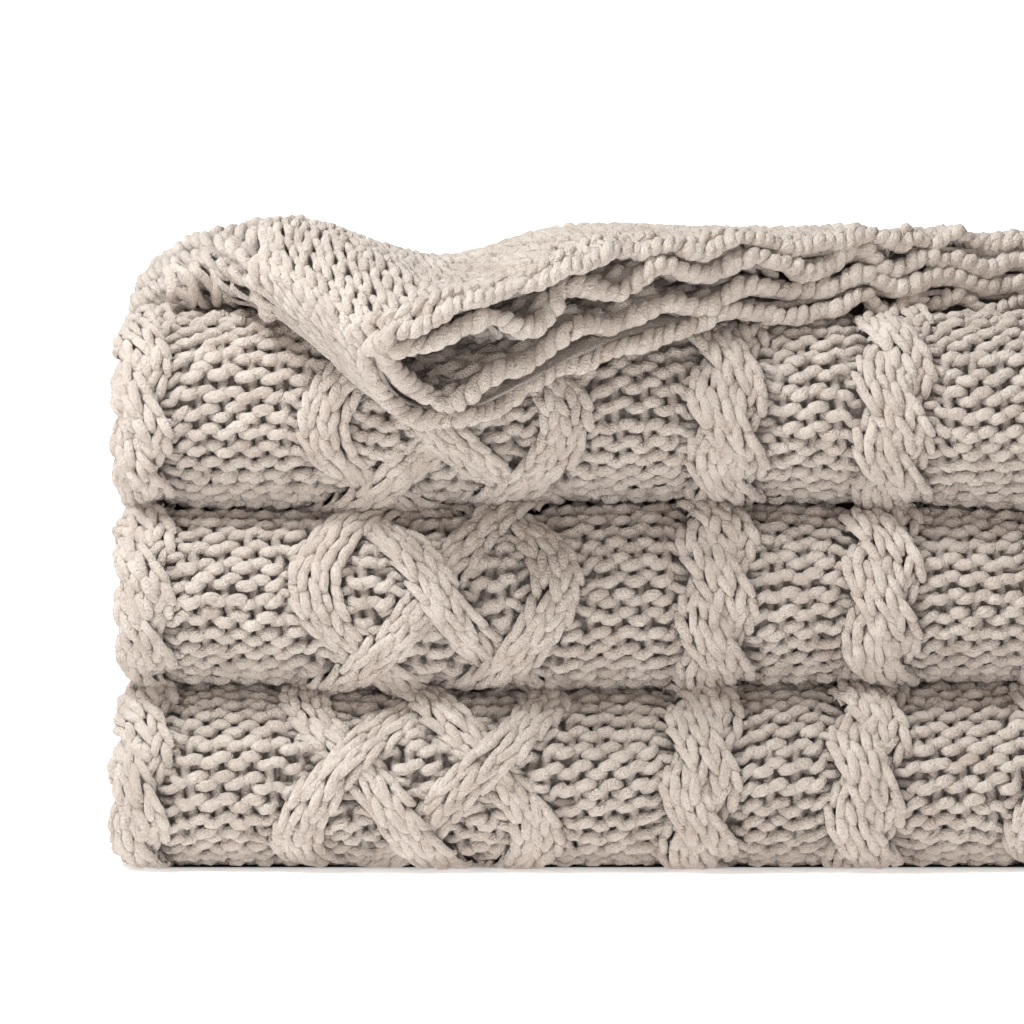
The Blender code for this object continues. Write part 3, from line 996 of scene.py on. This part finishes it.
def flap_edge():
    """The free edge on top: a twist along every ply, a finer one on the top ply, and the chunky row."""
    edge = Yarn(7, whole=True)
    place = EDGE_PLACES
    waves = wander(place, 0.012, 0.0007)
    ins = wander(place, 0.016, 0.0011)
    for first, last, thick, core, pitch in FREE_EDGES:
        part = (place >= first - 0.002) & (place <= last + 0.002)
        rope(edge, place[part], (TOTAL_RUN + 0.0005 + ins)[part], waves[part],
             thick=thick, core=core, pitch=pitch, lively=1.8)
    part = place < BACK_LEFT + 0.008
    rope(edge, place[part], (TOTAL_RUN - 0.0052 + ins)[part], PLY / 2 - 0.0014 + waves[part],
         thick=0.0019, core=0.0013, pitch=0.0060, seen=pi / 2)
    across = np.linspace(-0.048, 0.004, 60)
    along = TOP_START + np.linspace(0.002, 1, 80) * LOOSE_LENGTH
    reached = knit_back(across[:, None], along[None, :], 0)[..., 0]
    chunky = np.array([np.interp(TURNED_X, line, along) for line in reached])
    chunky = np.interp(chunky + wander(across, 0.012, 0.0020), OUTSIDE, RUNS)
    lift = PLY / 2 - 0.0016 - 0.0020 * smooth((across + 0.012) / 0.016)
    rope(edge, back_place(across), chunky, lift, thick=0.0024, core=0.0019, pitch=0.0062, seen=pi / 2)
    make(edge, "flap_edge")


def lower_edge():
    """The free edge of the lowest layer, at the back."""
    edge = Yarn(5, whole=True)
    place = EDGE_PLACES
    rope(edge, place, -0.0005 + wander(place, 0.03, 0.0010), wander(place, 0.025, 0.0004), samples=7)
    make(edge, "lower_edge")


def right_selvedges():
    edge = Yarn(5, whole=True)
    for place in (0.0, PANEL_WIDTH):
        rope(edge, place + wander(EDGE_RUNS, 0.03, 0.0010), EDGE_RUNS, wander(EDGE_RUNS, 0.025, 0.0004),
             samples=6, thick=0.0023, core=0.0014)
    make(edge, "right_selvedges")


def right_folds(bands):
    """The ends of all rows, round the tight fold at the right, from where the bands leave off."""
    yarn = Yarn(5)
    last_row = floor((TOP_START + LOOSE_LENGTH) / ROW)
    for row in np.arange(1, last_row) * ROW:
        knitted = any(first < row < last for first, last in bands)
        start = RIGHT_REACH + 0.001 if knitted else -0.006
        purl_row(yarn, FACE + start, FACE + 0.029, row, 8, (False, False))
    make(yarn, "right_folds")


flap_edge()
lower_edge()
right_selvedges()
right_folds(front_bands)

# ---- floor
FLOOR_HALF = 9.0
FLOOR_LEVEL = -0.0005
NEAR_RING = 0.72         # the ground is white from here out to the backdrop
BACKDROP = 8.5
BACKDROP_HEIGHT = 1.0
BACKDROP_SIDES = 12


def stage(name, points, shade, glow):
    """A staged flat card or floor, with a glow of its own where it must stay white."""
    material, shader = new_material(name)
    set_inputs(shader, Base_Color=(shade, shade, shade, 1), Roughness=0.9,
               Emission_Color=(1.0, 1.0, 1.0, 1), Emission_Strength=glow)
    card = build(name, np.array(points, float), np.array([[0, 1, 2, 3]]))
    card.data.materials.append(material)


def level_card(left, right, front, back, level):
    return [(left, front, level), (right, front, level), (right, back, level), (left, back, level)]


stage("floor", level_card(-FLOOR_HALF, FLOOR_HALF, -FLOOR_HALF, FLOOR_HALF, FLOOR_LEVEL), 0.93, 0.42)
# A dark card on the floor beneath the throw: it keeps the floor's glow from lighting the underside, and where
# it shows at the foot it is a painted contact shadow.
stage("under", level_card(-0.190, 0.172, -0.047, 0.100, 0), 0.12, 0.0)
for i in range(BACKDROP_SIDES):
    angles = [(i + side) * 360 / BACKDROP_SIDES * DEGREE for side in (-0.5, 0.5)]
    near, far = ([(r * sin(a), r * cos(a)) for a in angles] for r in (NEAR_RING, BACKDROP))
    stage(f"distance_{i}", [(*near[0], 0), (*near[1], 0), (*far[1], 0), (*far[0], 0)], 0.9, 0.9)
    stage(f"backdrop_{i}", [(*far[0], 0), (*far[1], 0), (*far[1], BACKDROP_HEIGHT),
                            (*far[0], BACKDROP_HEIGHT)], 1.0, 1.0)

# ---- light
WARM = (1.0, 0.93, 0.86)
COOL = (0.93, 0.98, 1.0)


def lamp(name, place, target, size, power, colour):
    """A square area light that faces its target."""
    data = bpy.data.lights.new(name, "AREA")
    data.shape = "SQUARE"
    data.size = size
    data.energy = power
    data.color = colour
    item = bpy.data.objects.new(name, data)
    item.location = place
    item.rotation_euler = (Vector(target) - Vector(place)).to_track_quat("-Z", "Y").to_euler()
    bpy.context.scene.collection.objects.link(item)


bpy.context.scene.view_settings.view_transform = "Standard"
world = bpy.data.worlds.new("studio")
bpy.context.scene.world = world
world.use_nodes = True
set_inputs(world.node_tree.nodes["Background"], Color=(*WARM, 1), Strength=0.24)
lamp("key", place=(-0.58, -0.50, 1.20), target=(-0.05, -0.03, 0.12), size=0.50, power=18.5, colour=COOL)
lamp("fill", place=(0.3, -2.2, 0.7), target=(0, 0, 0.12), size=1.6, power=2.0, colour=WARM)

# ---- camera
CAMERA_DISTANCE = 3.0
CAMERA_TILT = 3 * DEGREE
CAMERA_AIM = (-0.054575, -0.0754, 0.1365)  # on the front of the loops
SHOWN_WIDTH = 0.384      # what the picture takes in there

camera_data = bpy.data.cameras.new("camera")
camera_data.lens = camera_data.sensor_width * CAMERA_DISTANCE / SHOWN_WIDTH
camera_data.clip_end = 40
camera = bpy.data.objects.new("camera", camera_data)
away = Vector((0, -cos(CAMERA_TILT), sin(CAMERA_TILT)))
camera.location = Vector(CAMERA_AIM) + CAMERA_DISTANCE * away
camera.rotation_euler = (pi / 2 - CAMERA_TILT, 0, 0)
bpy.context.scene.collection.objects.link(camera)
bpy.context.scene.camera = camera
